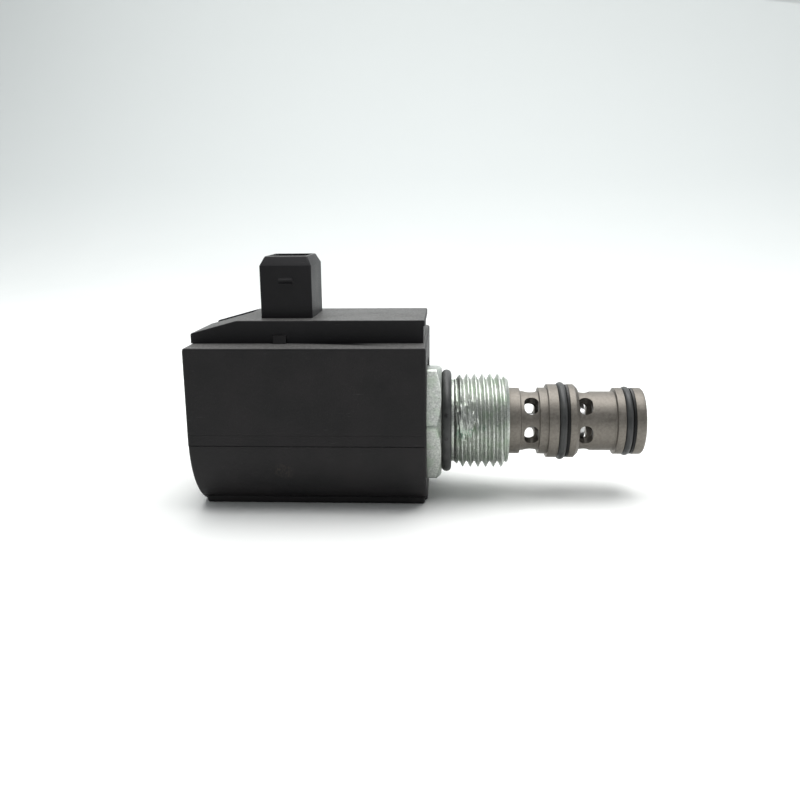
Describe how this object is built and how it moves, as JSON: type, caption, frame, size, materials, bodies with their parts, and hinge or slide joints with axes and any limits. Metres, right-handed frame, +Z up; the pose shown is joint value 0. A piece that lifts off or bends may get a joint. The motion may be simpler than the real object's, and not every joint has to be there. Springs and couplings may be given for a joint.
{
  "type": "cartridge valve",
  "caption": "Screw-in hydraulic spool cartridge valve with a solenoid coil, plug shroud, threaded hexagon body, ported cage and ring seals.",
  "frame": {"origin": "centre of the bounding box at the plane that the coil's foot rests on", "axes": "+X along the valve axis towards the nose, +Z up through the plug shroud, -Y towards the side with the latch ridges"},
  "size_m": [0.1056, 0.0384, 0.0568],
  "materials": {
    "zinc_steel": "bright zinc plate with a faint green passivation, satin",
    "phosphated_steel": "fine turned, thin grey-brown phosphate",
    "bright_steel": "ground",
    "dark_steel": "bare soft magnetic steel",
    "spring_steel": "drawn wire",
    "shim_brass": "rolled",
    "nitrile_rubber": "satin moulded rubber",
    "backup_plastic": "filled PTFE, matte",
    "casing_plastic": "fine spark-eroded mould texture, dusty black",
    "cover_plastic": "fine mould texture, black",
    "bobbin_plastic": "moulded",
    "copper": "enamelled copper wire",
    "tin_plate": "tinned brass, bright",
    "diode_epoxy": "moulded epoxy"
  },
  "bodies": {
    "cartridge": {"valve_body": "zinc_steel", "body_seal_ring": "nitrile_rubber", "cage": "phosphated_steel", "mid_seal_ring": "nitrile_rubber", "mid_backup_ring": "backup_plastic", "nose_seal_ring": "nitrile_rubber", "nose_backup_ring": "backup_plastic", "spool_spring": "spring_steel", "guide_tube": "bright_steel", "pole_piece": "dark_steel", "shim_washer": "shim_brass", "end_plug": "zinc_steel", "coil_front_seal_ring": "nitrile_rubber"},
    "spool": {"spool": "bright_steel", "spring_seat": "bright_steel", "retaining_clip": "spring_steel"},
    "plunger": {"plunger": "dark_steel", "push_pin": "bright_steel"},
    "coil": {"coil_casing": "casing_plastic", "connector_cover": "cover_plastic", "front_flux_washer": "dark_steel", "rear_flux_washer": "dark_steel", "flux_shell": "dark_steel", "bobbin": "bobbin_plastic", "winding": "copper", "terminal_carrier": "bobbin_plastic", "terminal_front": "tin_plate", "terminal_back": "tin_plate", "suppression_diode": "diode_epoxy"},
    "nut_seal": {"nut_seal_ring": "nitrile_rubber"},
    "coil_nut": {"coil_nut": "zinc_steel"}
  },
  "joints": [
    {"name": "plunger_slide", "type": "slide", "parent": "cartridge", "child": "plunger", "axis": [1, 0, 0], "range_m": [0, 0.0026], "stiffness_N_per_m": 1500, "springref_m": -0.004},
    {"name": "spool_slide", "type": "slide", "parent": "cartridge", "child": "spool", "axis": [1, 0, 0], "range_m": [0, 0.0026], "deforming": ["spool_spring"]},
    {"name": "coil_swivel", "type": "hinge", "parent": "cartridge", "child": "coil", "pos_m": [0, 0, 0.0174], "axis": [1, 0, 0], "continuous": true},
    {"name": "nut_travel", "type": "slide", "parent": "cartridge", "child": "nut_seal", "axis": [1, 0, 0], "range_m": [-0.0031, 0]},
    {"name": "nut_turn", "type": "hinge", "parent": "nut_seal", "child": "coil_nut", "pos_m": [0, 0, 0.0174], "axis": [1, 0, 0], "range_deg": [-1080, 0]}
  ],
  "couplings": [
    {"joint": "spool_slide", "follows": "plunger_slide", "ratio": 1},
    {"joint": "nut_travel", "follows": "nut_turn", "m_per_rad": 0.00015915}
  ]
}
